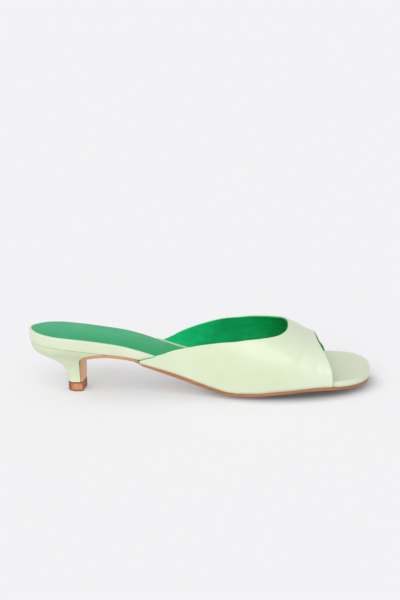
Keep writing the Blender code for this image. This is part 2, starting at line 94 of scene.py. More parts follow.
# Heel and its tip
BREAST = 0.0361  # breast of the heel, from the back of the shoe
BREAST_TURN = math.radians(7.0)  # breast faces a little outwards
TURN_HELD = 0.04  # share of the way up the breast and along the arch that keeps this turn
TURN_GONE = 0.50  # and where none of it is left
FLARE_LENGTH = 0.0207  # breast curves into the arch over this length
FLARE_DROP = 0.0089  # and this height
FLARE_SQUARE = 2.5
LIP = 0.0547  # front lip of the heel, from the back of the shoe
HEEL_INSET = 0.0004  # inside the footbed at the seat
HEEL_ROUND_SEAT = 0.49  # share of a ring's depth that its round back takes at the seat
HEEL_ROUND_STEM = 0.72  # and towards the tip
LIFT_ROUND = 0.65  # and at the tip itself
LIFT_HEIGHT = 0.0065
LIFT_SPREAD = 0.0002  # the tip stands proud of the heel

GAP = 0.0003  # between pieces that touch

HEEL_BACK = -LENGTH / 2
TOE_TIP = LENGTH / 2

# The outline in plan: share of the length, the width it follows, outer and inner share of that width
PLAN = [
    (0.000, SEAT_WIDTH, 0.498, 0.498),
    (0.110, SEAT_WIDTH, 0.502, 0.502),
    (0.160, SEAT_WIDTH, 0.508, 0.496),
    (0.230, SEAT_WIDTH, 0.512, 0.468),
    (0.315, SEAT_WIDTH, 0.506, 0.420),
    (0.397, SEAT_WIDTH, 0.506, 0.382),
    (0.438, BALL_WIDTH, 0.327, 0.240),
    (0.500, BALL_WIDTH, 0.376, 0.288),
    (0.562, BALL_WIDTH, 0.431, 0.355),
    (0.624, BALL_WIDTH, 0.475, 0.427),
    (0.686, BALL_WIDTH, 0.496, 0.480),
    (0.748, BALL_WIDTH, 0.499, 0.501),
    (0.810, BALL_WIDTH, 0.483, 0.500),
    (0.872, BALL_WIDTH, 0.459, 0.490),
    (1.000, BALL_WIDTH, 0.445, 0.472),
]

# The last from the side: share of the length, then shares of the heel rise, of the toe spring, of the rim's
# rise and of the board's thickness at the heel
FORM = [
    (0.000, 1.000, 0.00, 0.00, 1.00),
    (0.149, 0.854, 0.00, 0.00, 1.00),
    (0.219, 0.785, 0.00, 0.00, 0.95),
    (0.277, 0.729, 0.00, 0.00, 0.82),
    (0.335, 0.634, 0.00, 0.00, 0.65),
    (0.390, 0.503, 0.00, 0.10, 0.55),
    (0.448, 0.346, 0.00, 0.40, 0.50),
    (0.505, 0.192, 0.00, 0.75, 0.45),
    (0.562, 0.058, 0.00, 0.95, 0.40),
    (0.585, 0.019, 0.00, 0.98, 0.38),
    (0.612, 0.000, 0.00, 1.00, 0.36),
    (0.669, 0.000, 0.00, 1.00, 0.30),
    (0.707, 0.000, 0.20, 1.00, 0.25),
    (0.769, 0.000, 0.48, 1.00, 0.16),
    (0.831, 0.000, 0.76, 0.90, 0.08),
    (0.893, 0.000, 0.90, 0.70, 0.00),
    (1.000, 0.000, 1.00, 0.50, 0.00),
]

# Crown of the last above the footbed's rim: share of the length, share of the instep
CROWN = [
    (0.300, 0.360),
    (0.384, 0.470),
    (0.438, 0.660),
    (0.500, 0.870),
    (0.562, 0.990),
    (0.624, 0.865),
    (0.686, 0.726),
    (0.727, 0.636),
    (0.764, 0.556),
    (0.784, 0.508),
    (0.813, 0.427),
    (0.832, 0.382),
    (0.884, 0.292),
]

# The topline: share of the length, and how far it has turned from the crown, 0, to the footbed's rim, 1
TOPLINE = [
    (0.764, 0.000),
    (0.763, 0.080),
    (0.760, 0.160),
    (0.753, 0.252),
    (0.738, 0.360),
    (0.712, 0.456),
    (0.672, 0.546),
    (0.624, 0.641),
    (0.562, 0.745),
    (0.500, 0.801),
    (0.438, 0.872),
    (0.401, 0.948),
    (0.370, 1.000),
]

# The toe opening, from its outer foot over the crown to its inner foot, farthest back over the big toe:
# turn as above with the outer side negative, share of the length
OPENING = [
    (-2.00, 0.8840),
    (-1.00, 0.8842),
    (-0.82, 0.8830),
    (-0.66, 0.8780),
    (-0.45, 0.8690),
    (-0.22, 0.8560),
    (0.00, 0.8450),
    (0.20, 0.8385),
    (0.36, 0.8400),
    (0.50, 0.8452),
    (0.66, 0.8505),
    (0.82, 0.8575),
    (1.00, 0.8715),
    (2.00, 0.8760),
]

# The heel from its tip to its seat: share of its height at the back, share of the breast's distance from the
# back, share of the footbed's width, and share of the way up the breast and along the arch to the lip
HEEL = [
    (0.000, 0.288, 0.290, 0.000),
    (0.055, 0.286, 0.292, 0.045),
    (0.145, 0.298, 0.308, 0.118),
    (0.252, 0.325, 0.342, 0.207),
    (0.351, 0.380, 0.395, 0.287),
    (0.450, 0.475, 0.474, 0.355),
    (0.550, 0.610, 0.580, 0.430),
    (0.640, 0.755, 0.700, 0.500),
    (0.740, 0.895, 0.835, 0.590),
    (0.850, 0.970, 0.945, 0.730),
    (0.940, 0.992, 0.985, 0.900),
    (0.985, 0.996, 1.000, 1.000),
]

# Steps of the smooth surfaces
END_STEPS = 18  # stations round the heel's back and the toe
SIDE_STEPS = 110  # stations along the sides between them
ACROSS_STEPS = 10
ROUND_STEPS = 5  # round a small edge
STRAND_STEPS = 90  # along the upper, from topline to toe opening
TOPLINE_STEPS = 5  # between two rows of the topline
WING_STEPS = 8
FEATHER_STEPS = 8
MARGIN_STEPS = 4
BREAST_STEPS = 24
FLARE_STEPS = 40
FLAP_STEPS = 60
HEEL_STEPS = 5  # between two rows of the heel
BACK_STEPS = 28
FLANK_STEPS = 14
SIDE_ROWS = 6  # up the side of the footbed's wrap
TOP_ROWS = 4  # from the rim to the middle of its top
MERGED = 2e-6  # points closer than this become one
APART = 2e-5  # stations are at least this far apart


def curve(rows, column):
    """A smooth curve through one column of a table, which never overshoots its rows."""
    places = [row[0] for row in rows]
    values = [row[column] for row in rows]
    runs = [b - a for a, b in zip(places, places[1:])]
    grades = [(b - a) / run for a, b, run in zip(values, values[1:], runs)]
    slopes = [grades[0]]
    for left, right in zip(grades, grades[1:]):
        slopes.append(2 * left * right / (left + right) if left * right > 0 else 0.0)
    slopes.append(grades[-1])

    def at(way):
        way = min(max(way, places[0]), places[-1])
        k = max(i for i in range(len(runs)) if places[i] <= way)
        t = (way - places[k]) / runs[k]
        start = (1 + 2 * t) * (1 - t) ** 2 * values[k] + t * (1 - t) ** 2 * runs[k] * slopes[k]
        end = t * t * (3 - 2 * t) * values[k + 1] - t * t * (1 - t) * runs[k] * slopes[k + 1]
        return start + end

    return at


def place(share):
    return HEEL_BACK + share * LENGTH


def share(x):
    return (x - HEEL_BACK) / LENGTH


def ease(t):
    t = min(max(t, 0.0), 1.0)
    return t * t * (3 - 2 * t)


OUTER_WIDTH = curve([(s, width * outer) for s, width, outer, inner in PLAN], 1)
INNER_WIDTH = curve([(s, width * inner) for s, width, outer, inner in PLAN], 1)
PITCH = curve(FORM, 1)
SPRING = curve(FORM, 2)
RIM = curve(FORM, 3)
BOARD = curve(FORM, 4)
CROWN_HEIGHT = curve(CROWN, 1)
OPENING_AT = curve(OPENING, 1)
OPENING_FOOT = OPENING[0][1]


def full_width(x, side):
    return side * (INNER_WIDTH(share(x)) if side > 0 else OUTER_WIDTH(share(x)))


def edge(x, side):
    """Y of the footbed's edge, with the round heel and the soft square toe."""
    back = 1 - min(max((x - HEEL_BACK) / HEEL_ROUND, 0.0), 1.0)
    front = 1 - min(max((TOE_TIP - x) / TOE_ROUND, 0.0), 1.0)
    return full_width(x, side) * (1 - back**2) ** 0.5 * (1 - front**TOE_SQUARE) ** (1 / TOE_SQUARE)


def plan(x, side, inset):
    """The point this far inside the footbed's outline, measured squarely from its edge at x."""
    step = 1e-6
    if x < HEEL_BACK + step:
        return HEEL_BACK + inset, 0.0
    if x > TOE_TIP - step:
        return TOE_TIP - inset, 0.0
    run = 2 * step
    rise = edge(x + step, side) - edge(x - step, side)
    reach = inset * side / math.hypot(run, rise)
    return x + rise * reach, edge(x, side) - run * reach


def seat(x):
    """Height of the footbed's underside over the middle of the foot."""
    return TREAD + LEAN_ROOM + WALL + 2 * GAP + HEEL_RISE * PITCH(share(x)) + TOE_SPRING * SPRING(share(x))


def rim(x, inset):
    """How much higher the sole's rim is than its middle."""
    return RIM_RISE * RIM(share(x)) * max(0.0, 1 - inset / RIM_REACH) ** 2


def board(x):
    return BOARD_TOE + (BOARD_HEEL - BOARD_TOE) * BOARD(share(x))


def margin_step(x):
    """How far the sole steps down below the footbed to take the upper's margin."""
    return (WALL + GAP + LEAN_ROOM) * ease((x - place(WING_TIP) + STEP_LEAD) / STEP_RUN + 1)


def footbed_top(x, inset):
    return seat(x) + rim(x, inset) + board(x)


def breast_line():
    """The sole's inner face from the tip of the heel up the breast and along the arch, as (x, z) points."""
    breast = HEEL_BACK + BREAST
    arch = breast + FLARE_LENGTH
    arch_height = seat(arch) - GAP
    foot = LIFT_HEIGHT + GAP
    knee = arch_height - FLARE_DROP
    line = [(breast, foot + (knee - foot) * k / BREAST_STEPS) for k in range(BREAST_STEPS)]
    for k in range(FLARE_STEPS + 1):
        turn = math.pi / 2 * k / FLARE_STEPS
        run = FLARE_LENGTH * (1 - math.cos(turn) ** (2 / FLARE_SQUARE))
        line.append((breast + run, knee + FLARE_DROP * math.sin(turn) ** (2 / FLARE_SQUARE)))
    return line


def breast_stations(steps):
    """Places on the breast line: share of the way, point, and the way out of the sole's outer face."""
    line = breast_line()
    lengths = [0.0]
    for (ax, az), (bx, bz) in zip(line, line[1:]):
        lengths.append(lengths[-1] + math.hypot(bx - ax, bz - az))
    found = []
    for way in steps:
        target = way * lengths[-1]
        k = min(max(i for i in range(len(lengths)) if lengths[i] <= target), len(line) - 2)
        (ax, az), (bx, bz) = line[k], line[k + 1]
        run = lengths[k + 1] - lengths[k]
        t = (target - lengths[k]) / run
        before = line[max(k - 1, 0)]
        after = line[min(k + 2, len(line) - 1)]
        dx = (1 - t) * (bx - before[0]) + t * (after[0] - ax)
        dz = (1 - t) * (bz - before[1]) + t * (after[1] - az)
        size = math.hypot(dx, dz)
        found.append((way, ax + (bx - ax) * t, az + (bz - az) * t, dz / size, -dx / size))
    return found


def breast_shear(way, y):
    """How far the turned breast moves a point forwards, fading out along the arch."""
    return y * math.tan(BREAST_TURN) * (1 - ease((way - TURN_HELD) / (TURN_GONE - TURN_HELD)))


def lip_way():
    """Share of the breast line at which the heel's front lip ends."""
    line = breast_line()
    total = 0.0
    lip = 0.0
    for (ax, az), (bx, bz) in zip(line, line[1:]):
        run = math.hypot(bx - ax, bz - az)
        inside = min(1.0, max(0.0, (HEEL_BACK + LIP - ax) / (bx - ax))) if bx > ax else 1.0
        lip += run * inside
        total += run
    return lip / total


HEEL_WIDTH_AT = curve([(way, width) for rise, back, width, way in HEEL], 1)


def sole_leather(x):
    """Thickness of the outsole: thin under the arch, full at the forefoot."""
    filled = ease((share(x) - WING_TIP) / (FULL_SOLE - WING_TIP))
    return WAIST_SOLE + (TREAD - WAIST_SOLE) * filled


def sole_edge(x):
    """Inset of the outsole's edge from the footbed's: it spreads out where it carries the upper."""
    carried = ease((x - place(WING_TIP)) / SPREAD_START) * ease((place(OPENING_FOOT) - x) / SPREAD_END + 1)
    return SOLE_INSET - (SOLE_INSET + SOLE_SPREAD) * carried


def fold_drop(x, inset):
    """How far the fold's outer face lies below the footbed: the gap and the wall, leaning with the sole."""
    step = 1e-4
    ahead = seat(x + step) + rim(x + step, inset)
    behind = seat(x - step) + rim(x - step, inset)
    along = (ahead - behind) / (2 * step)
    sideways = (rim(x, inset + step) - rim(x, inset - step)) / (2 * step)
    return GAP + WALL * math.hypot(1, along, sideways)


def upper_point(x, side, turn):
    """A point of the upper's outer face. turn is 0 at the crown, 1 at the footbed's rim, 2 at the feather, 3
    at the end of the feather's curve and 4 at the end of the margin under the footbed."""
    outside = GAP + WALL
    if turn <= 1:
        wall_x, wall_y = plan(x, side, -outside)
        swing = turn * math.pi / 2
        spread = math.sin(swing) ** (2 / CROWN_SQUARE)
        height = max(math.cos(swing), 0.0) ** (2 / CROWN_SQUARE)
        px = x + (wall_x - x) * spread
        foot = footbed_top(px, -outside)
        return px, wall_y * spread, foot + INSTEP * CROWN_HEIGHT(share(px)) * height
    if turn <= 2:
        px, py = plan(x, side, -outside)
        foot = seat(px) + rim(px, -outside) - fold_drop(px, -outside) + FEATHER
        return px, py, foot + (footbed_top(px, -outside) - foot) * (2 - turn)
    if turn <= 3:
        swing = (turn - 2) * math.pi / 2
        inset = -outside + FEATHER * (1 - math.cos(swing))
        px, py = plan(x, side, inset)
        foot = seat(px) + rim(px, inset) - fold_drop(px, inset)
        return px, py, foot + FEATHER * (1 - math.sin(swing))
    start = FEATHER - outside
    inset = start + (MARGIN - start) * (turn - 3)
    px, py = plan(x, side, inset)
    return px, py, seat(px) + rim(px, inset) - fold_drop(px, inset)


def heel_ring(rear_x, rear_z, front_x, front_z, width, round_share, way):
    """One ring of the heel from its round back to its straight breast."""
    ring = []
    for k in range(BACK_STEPS + FLANK_STEPS + 1):
        half_turn = math.pi / 2 * min(1.0, k / BACK_STEPS)
        flank = max(0.0, (k - BACK_STEPS) / FLANK_STEPS)
        along = round_share * (1 - math.cos(half_turn)) + (1 - round_share) * flank
        x = rear_x + (front_x - rear_x) * along
        z = rear_z + (front_z - rear_z) * along
        pair = []
        for side in (-1, 1):
            y = (full_width(x, side) * width - side * HEEL_INSET * width) * math.sin(half_turn)
            pair.append((x + breast_shear(way, y) * along, y, z))
        ring.append(pair)
    return ring


def deselect():
    for chosen in bpy.context.selected_objects:
        chosen.select_set(False)


def edit(piece, *steps):
    """Runs operators in edit mode on the whole of a piece. Each step is an operator and its settings."""
    deselect()
    bpy.context.view_layer.objects.active = piece
    piece.select_set(True)
    bpy.ops.object.mode_set(mode="EDIT")
    bpy.ops.mesh.select_all(action="SELECT")
    for operator, settings in steps:
        operator(**settings)
    bpy.ops.object.mode_set(mode="OBJECT")


def apply(piece, kind, **settings):
    """Adds a modifier and applies it."""
    deselect()
    bpy.context.view_layer.objects.active = piece
    piece.select_set(True)
    modifier = piece.modifiers.new(kind.lower(), kind)
    for name, value in settings.items():
        setattr(modifier, name, value)
    bpy.ops.object.modifier_apply(modifier=modifier.name)


def sheet(name, rows, dents=None):
    """A grid laid through rows of points, then pressed in squarely by the dents."""
    along = len(rows) - 1
    across = len(rows[0]) - 1
    deselect()
    bpy.ops.mesh.primitive_grid_add(x_subdivisions=across, y_subdivisions=along, size=1.0)
    piece = bpy.context.active_object
    piece.name = name
    piece.data.name = name
    spots = [(round((v.co.y + 0.5) * along), round((v.co.x + 0.5) * across)) for v in piece.data.vertices]
    for vertex, (row, column) in zip(piece.data.vertices, spots):
        vertex.co = rows[row][column]
    if dents:
        piece.data.update()
        ways = [vertex.normal.copy() for vertex in piece.data.vertices]
        outwards = 1 if max(zip(piece.data.vertices, ways), key=lambda pair: pair[0].co.z)[1].z > 0 else -1
        for vertex, way, (row, column) in zip(piece.data.vertices, ways, spots):
            vertex.co -= way * outwards * dents[row][column]
    return piece


def closed(name, sections):
    """One closed piece through closed sections: its seam and poles are merged, and open ends are filled."""
    piece = sheet(name, [section + section[:1] for section in sections])
    edit(
        piece,
        (bpy.ops.mesh.remove_doubles, {"threshold": MERGED}),
        (bpy.ops.mesh.fill_holes, {"sides": 0}),
        (bpy.ops.mesh.select_all, {"action": "SELECT"}),
        (bpy.ops.mesh.normals_make_consistent, {"inside": False}),
    )
    return piece


def smooth(piece, degrees=40):
    deselect()
    bpy.context.view_layer.objects.active = piece
    piece.select_set(True)
    bpy.ops.object.shade_smooth_by_angle(angle=math.radians(degrees))


def stations(rear, front):
    """Places from rear to front, close together where the heel and the toe are round."""
    turns = [math.pi / 2 * k / END_STEPS for k in range(END_STEPS)]
    back = [HEEL_BACK + HEEL_ROUND * (1 - math.cos(turn)) for turn in turns]
    tip = [TOE_TIP - TOE_ROUND * (1 - math.cos(turn) ** (2 / TOE_SQUARE)) for turn in reversed(turns)]
    start = HEEL_BACK + HEEL_ROUND
    run = (LENGTH - HEEL_ROUND - TOE_ROUND) / SIDE_STEPS
    sides = [start + run * k for k in range(SIDE_STEPS + 1)]
    inside = [x for x in back + sides + tip if rear + APART < x < front - APART]
    return [rear] + inside + [front]


def between(start, end, steps):
    """The points that divide a straight line into steps, without its ends."""
    return [Vector(start).lerp(Vector(end), k / steps) for k in range(1, steps)]


def section(near, far):
    """A closed section from its near half and far half, each listed from the bottom up."""
    over = between(near[-1], far[-1], ACROSS_STEPS)
    under = between(far[0], near[0], ACROSS_STEPS)
    return near + over + far[::-1] + under


def round_edge(radius):
    """(inset, drop) steps round a top edge of this radius, from its side to its top."""
    turns = [math.pi / 2 * k / ROUND_STEPS for k in range(ROUND_STEPS + 1)]
    return [(radius * (1 - math.cos(turn)), radius * (1 - math.sin(turn))) for turn in turns]


# Looks of the upper
LEATHER = 0.0009  # outer leather
LINING = 0.00086
LINING_SHOWS = 0.0005  # the lining stands out this far behind the wings
LINING_TURNS = (0.86, 0.92, 1.80, 2.40)  # turns of the topline between which it comes out, and goes back
RIM_ROUND = 0.0004  # folded edge of the leather
ROUND_SHARE = 0.45  # most of a wall's thickness that its edge may round off
STITCH_EDGE = 0.0013  # stitch line to the topline
STITCH_PITCH = 0.0021
STITCH_LENGTH = 0.0015
THREAD = 0.00026
THREAD_FLAT = 0.8  # share of its thickness that the thread keeps where it is pulled down
THREAD_LIFT = 0.1  # share of it by which its middle lies above the leather
THREAD_RINGS = 6  # steps along a stitch
THREAD_SIDES = 8

# Looks of the footbed and the sock
RIM_BEAD = 0.0016  # the wrap stands up this much round the sock on the outer side
RIM_FADE = 0.70  # share of the length at which that starts to fade
INNER_BEAD = 0.0021  # it stands up this much beside the inner wing
BEAD_GONE = 0.030  # share of the length at which the inner side has none left, from the heel
BEAD_BACK = (0.345, 0.385)  # and between which it comes back
HEEL_THIN = 0.0004  # the rim and the sock are this much lower at the heel
THIN_END = 0.22  # share of the length where they have their full height
TILT = 0.0006  # the top's inner edge is raised this much at the waist, and its outer edge lowered
TILT_RUN = (0.20, 0.34)  # shares of the length between which the tilt grows
TILT_LEAST = 0.001  # half width of the footbed under which there is no full tilt
SIDE_SWELL = 0.1  # the wrapped side swells by this share of its top edge's radius
SOCK_TURN = 0.6  # share of the sock's thickness that its edge rounds off

# Looks of the sole
EDGE_LIFT = 0.0005  # the sole's edge is pressed up against the upper by this much
EDGE_REACH = 0.0020  # and over this width
WAIST_MORE = 0.0006  # the edge looks this much thicker from the arch to the ball
WAIST_RUN = 0.12  # share of the length over which that fades out
FLAP_MORE = 0.0006  # the flap looks this much thicker above the tip
FLAP_RUN = 0.25  # share of the way from the tip to the arch's front end over which it thickens
TIGHT_STEP = 0.0012  # the sole steps down this close behind the wings' tips
LONG_STEP = 0.0065  # and underneath over this length
STEP_AHEAD = 0.54  # share of that length that lies before the tips
EDGE_TURNED = 0.12  # square of a face's sideways slope from which it counts as the inked edge
EDGE_UPRIGHT = 0.9  # upward slope under which it does so round the toe

# Looks of the heel and its tip
COVER_ROUND = 0.0002  # edge of the leather that covers the heel
TIP_ROUND = 0.0004
SNUG = 0.00022  # what touches is drawn this much closer than the solids are

# How far the topline's turn is drawn back towards the crown: turn, outer side, inner side
WING_LIFT = [
    (0.600, 0.000, 0.000),
    (0.700, 0.000, 0.009),
    (0.800, 0.002, 0.021),
    (0.870, 0.011, 0.028),
    (0.930, 0.021, 0.026),
    (0.965, 0.019, 0.018),
    (1.000, 0.000, 0.000),
]

# Creases of the vamp, each along a line: signed turn and share of the length at both ends, half width as a
# share of the length, depth in metres
CREASES = [
    (-0.12, 0.792, -0.62, 0.742, 0.0060, 0.00030),
    (-0.20, 0.820, -0.88, 0.786, 0.0075, 0.00032),
    (-0.55, 0.700, -1.30, 0.668, 0.0090, 0.00030),
    (0.10, 0.790, 0.60, 0.744, 0.0060, 0.00028),
    (0.25, 0.812, 0.90, 0.775, 0.0075, 0.00030),
    (-0.50, 0.842, -1.10, 0.838, 0.0060, 0.00022),
]


def linear(colour):
    """The linear colour of an sRGB hex value."""
    parts = [int(colour[k : k + 2], 16) / 255 for k in (1, 3, 5)]
    return [c / 12.92 if c <= 0.04045 else ((c + 0.055) / 1.055) ** 2.4 for c in parts] + [1.0]


def add(tree, kind, output, inputs=None, **settings):
    """Adds a node with its settings and its inputs, each linked or set, and gives one of its outputs."""
    node = tree.nodes.new("ShaderNode" + kind)
    for name, value in settings.items():
        setattr(node, name, value)
    for name, value in (inputs or {}).items():
        if isinstance(value, bpy.types.NodeSocket):
            tree.links.new(value, node.inputs[name])
        else:
            node.inputs[name].default_value = value
    return node.outputs[output]


def new_material(name, **values):
    made = bpy.data.materials.new(name)
    made.use_nodes = True
    tree = made.node_tree
    shader = tree.nodes["Principled BSDF"]
    for key, value in values.items():
        shader.inputs[key.replace("_", " ")].default_value = value
    return made, tree, shader


# A noise's scale is 0.5 over the size of its blotches in metres. A cell pattern's is 1 over its cells' size.


def glazed_calf(name, light, dark, painted_light_shift=None):
    """Glazed calf leather: smooth and softly shining, with pores and slow waves under the glaze. The pores
    are 0.8 mm apart, coarser than real ones, so that they show. The last argument is (axis, start, end,
    colour): painted light, a colour that the leather changes to along the piece."""
    made, tree, shader = new_material(name, Coat_Weight=0.35, Coat_Roughness=0.14, Coat_IOR=1.5)
    here = add(tree, "TexCoord", "Object")

    cloud = add(tree, "TexNoise", "Fac", {"Vector": here, "Scale": 0.5 / 0.018, "Detail": 3.0})
    clouded = add(tree, "MapRange", "Result", {"Value": cloud, "From Min": 0.35, "From Max": 0.65})
    shade = add(tree, "Mix", 2, {0: clouded, 6: linear(light), 7: linear(dark)}, data_type="RGBA")
    # Painted light along one axis: paler for a painted reflection, darker for painted shade.
    if painted_light_shift:
        axis, start, end, colour = painted_light_shift
        way = add(tree, "SeparateXYZ", axis, {"Vector": here})
        changed = add(tree, "MapRange", "Result", {"Value": way, "From Min": start, "From Max": end})
        shade = add(tree, "Mix", 2, {0: changed, 6: shade, 7: linear(colour)}, data_type="RGBA")
    tree.links.new(shade, shader.inputs["Base Color"])

    patchy = add(tree, "TexNoise", "Fac", {"Vector": here, "Scale": 0.5 / 0.004, "Detail": 3.0})
    glaze = {"Value": patchy, "From Min": 0.3, "From Max": 0.7, "To Min": 0.30, "To Max": 0.40}
    tree.links.new(add(tree, "MapRange", "Result", glaze), shader.inputs["Roughness"])

    pores = add(tree, "TexVoronoi", "Distance", {"Vector": here, "Scale": 1 / 0.0008})
    pitted = add(tree, "Bump", "Normal", {"Height": pores, "Distance": 0.00005, "Strength": 0.3})
    waves = add(tree, "TexNoise", "Fac", {"Vector": here, "Scale": 0.5 / 0.006, "Detail": 2.0})
    wavy = {"Height": waves, "Distance": 0.0004, "Strength": 0.25, "Normal": pitted}
    tree.links.new(add(tree, "Bump", "Normal", wavy), shader.inputs["Normal"])
    return made


def lining_goat(name, heel, toe, reach, streaky, inner=None):
    """Aniline-dyed goat lining: matt, with a pebbled grain, long streaks where the dye took unevenly and
    paler lengthwise streaks that are rubs with a painted sheen. heel and toe are its light and dark colours
    at either end of its reach, in shares of the length; the change from one end to the other is painted light
    and shade. inner is a painted sheen, the greyer colour that it has towards the inner side."""
    made, tree, shader = new_material(name, Roughness=0.55, Specular_IOR_Level=0.3)
    here = add(tree, "TexCoord", "Object")

    # Painted light along the piece, from the heel colours to the toe colours over the reach.
    x = add(tree, "SeparateXYZ", "X", {"Vector": here})
    ends = {"Value": x, "From Min": place(reach[0]), "From Max": place(reach[1])}
    way = add(tree, "MapRange", "Result", ends)
    light = add(tree, "Mix", 2, {0: way, 6: linear(heel[0]), 7: linear(toe[0])}, data_type="RGBA")
    dark = add(tree, "Mix", 2, {0: way, 6: linear(heel[1]), 7: linear(toe[1])}, data_type="RGBA")

    cloud = add(tree, "TexNoise", "Fac", {"Vector": here, "Scale": 0.5 / 0.012, "Detail": 3.0})
    clouded = add(tree, "MapRange", "Result", {"Value": cloud, "From Min": 0.3, "From Max": 0.7})
    shade = add(tree, "Mix", 2, {0: clouded, 6: light, 7: dark}, data_type="RGBA")
    # Painted sheen: greyer towards the inner side.
    if inner:
        y = add(tree, "SeparateXYZ", "Y", {"Vector": here})
        across = add(tree, "MapRange", "Result", {"Value": y, "From Min": -0.018, "From Max": 0.022})
        shade = add(tree, "Mix", 2, {0: across, 6: shade, 7: linear(inner)}, data_type="RGBA")

    along = add(tree, "Mapping", "Vector", {"Vector": here, "Scale": (0.12, 1.0, 1.0)})
    streak = {"Vector": along, "Scale": 0.5 / 0.0016, "Detail": 4.0, "Roughness": 0.6}
    streaks = add(tree, "TexNoise", "Fac", streak)
    dyed = {"Value": streaks, "From Min": 0.40, "From Max": 0.70, "To Max": streaky}
    uneven = add(tree, "MapRange", "Result", dyed)
    streaked = add(tree, "Mix", 2, {0: uneven, 6: shade, 7: dark}, data_type="RGBA")

    # Paler lengthwise streaks: rubs with a painted sheen.
    long_way = add(tree, "Mapping", "Vector", {"Vector": here, "Scale": (0.06, 1.0, 1.0)})
    light_and_dark_marks = add(tree, "TexNoise", "Fac", {"Vector": long_way, "Scale": 0.5 / 0.003, "Detail": 3.0})
    rub_and_sheen_streaks = {"Value": light_and_dark_marks, "From Min": 0.52, "From Max": 0.72, "To Max": streaky * 0.5}
    marked = add(tree, "MapRange", "Result", rub_and_sheen_streaks)
    worn = add(tree, "Mix", 2, {0: marked, 6: streaked, 7: light}, data_type="RGBA")
    tree.links.new(worn, shader.inputs["Base Color"])

    grain = add(tree, "TexVoronoi", "Distance", {"Vector": here, "Scale": 1 / 0.0011})
    polish = {"Value": grain, "From Min": 0.0, "From Max": 0.6, "To Min": 0.46, "To Max": 0.60}
    tree.links.new(add(tree, "MapRange", "Result", polish), shader.inputs["Roughness"])
    pebbled = add(tree, "Bump", "Normal", {"Height": grain, "Distance": 0.00008, "Strength": 0.35})
    ridged = {"Height": streaks, "Distance": 0.0001, "Strength": 0.2, "Normal": pebbled}
    tree.links.new(add(tree, "Bump", "Normal", ridged), shader.inputs["Normal"])
    return made


def sole_bend(name, light, dark):
    """Oak-tanned sole leather: matt tan with close fibres, darker spots and fine scratches from standing."""
    made, tree, shader = new_material(name, Roughness=0.55)
    here = add(tree, "TexCoord", "Object")

    cloud = add(tree, "TexNoise", "Fac", {"Vector": here, "Scale": 0.5 / 0.009, "Detail": 3.0})
    spots = {"Value": cloud, "From Min": 0.3, "From Max": 0.7, "To Max": 0.6}
    spotted = add(tree, "MapRange", "Result", spots)
    shade = add(tree, "Mix", 2, {0: spotted, 6: linear(light), 7: linear(dark)}, data_type="RGBA")
    along = add(tree, "Mapping", "Vector", {"Vector": here, "Scale": (0.08, 1.0, 1.0)})
    scratches = add(tree, "TexNoise", "Fac", {"Vector": along, "Scale": 0.5 / 0.0005, "Detail": 2.0})
    deep = {"Value": scratches, "From Min": 0.62, "From Max": 0.75, "To Max": 0.5}
    scratched = add(tree, "MapRange", "Result", deep)
    worn = add(tree, "Mix", 2, {0: scratched, 6: shade, 7: linear(dark)}, data_type="RGBA")
    tree.links.new(worn, shader.inputs["Base Color"])

    fibre = {"Vector": here, "Scale": 0.5 / 0.0007, "Detail": 5.0, "Roughness": 0.65}
    fibres = add(tree, "TexNoise", "Fac", fibre)
    nap = {"Value": fibres, "From Min": 0.3, "From Max": 0.7, "To Min": 0.48, "To Max": 0.64}
    tree.links.new(add(tree, "MapRange", "Result", nap), shader.inputs["Roughness"])
    fibrous = add(tree, "Bump", "Normal", {"Height": fibres, "Distance": 0.00008, "Strength": 0.4})
    scored = {"Height": scratches, "Distance": 0.00005, "Strength": 0.3, "Normal": fibrous}
    tree.links.new(add(tree, "Bump", "Normal", scored), shader.inputs["Normal"])
    return made


def stained_edge(name, light, dark, arch):
    """Inked and waxed leather edge: layered brown, a little shiny, paler along the arch."""
    made, tree, shader = new_material(name, Coat_Weight=0.15, Coat_Roughness=0.3)
    here = add(tree, "TexCoord", "Object")

    lying = add(tree, "Mapping", "Vector", {"Vector": here, "Scale": (0.05, 0.05, 1.0)})
    layers = add(tree, "TexNoise", "Fac", {"Vector": lying, "Scale": 0.5 / 0.0005, "Detail": 3.0})
    layered = add(tree, "MapRange", "Result", {"Value": layers, "From Min": 0.35, "From Max": 0.65})
    shade = add(tree, "Mix", 2, {0: layered, 6: linear(light), 7: linear(dark)}, data_type="RGBA")
    x = add(tree, "SeparateXYZ", "X", {"Vector": here})
    arched = {"Value": x, "From Min": place(0.28), "From Max": place(0.42)}
    way = add(tree, "MapRange", "Result", arched)
    paler = add(tree, "Mix", 2, {0: way, 6: linear(arch), 7: shade}, data_type="RGBA")
    tree.links.new(paler, shader.inputs["Base Color"])

    wax = {"Value": layers, "From Min": 0.3, "From Max": 0.7, "To Min": 0.38, "To Max": 0.5}
    tree.links.new(add(tree, "MapRange", "Result", wax), shader.inputs["Roughness"])
    stepped = add(tree, "Bump", "Normal", {"Height": layers, "Distance": 0.00006, "Strength": 0.3})
    tree.links.new(stepped, shader.inputs["Normal"])
    return made


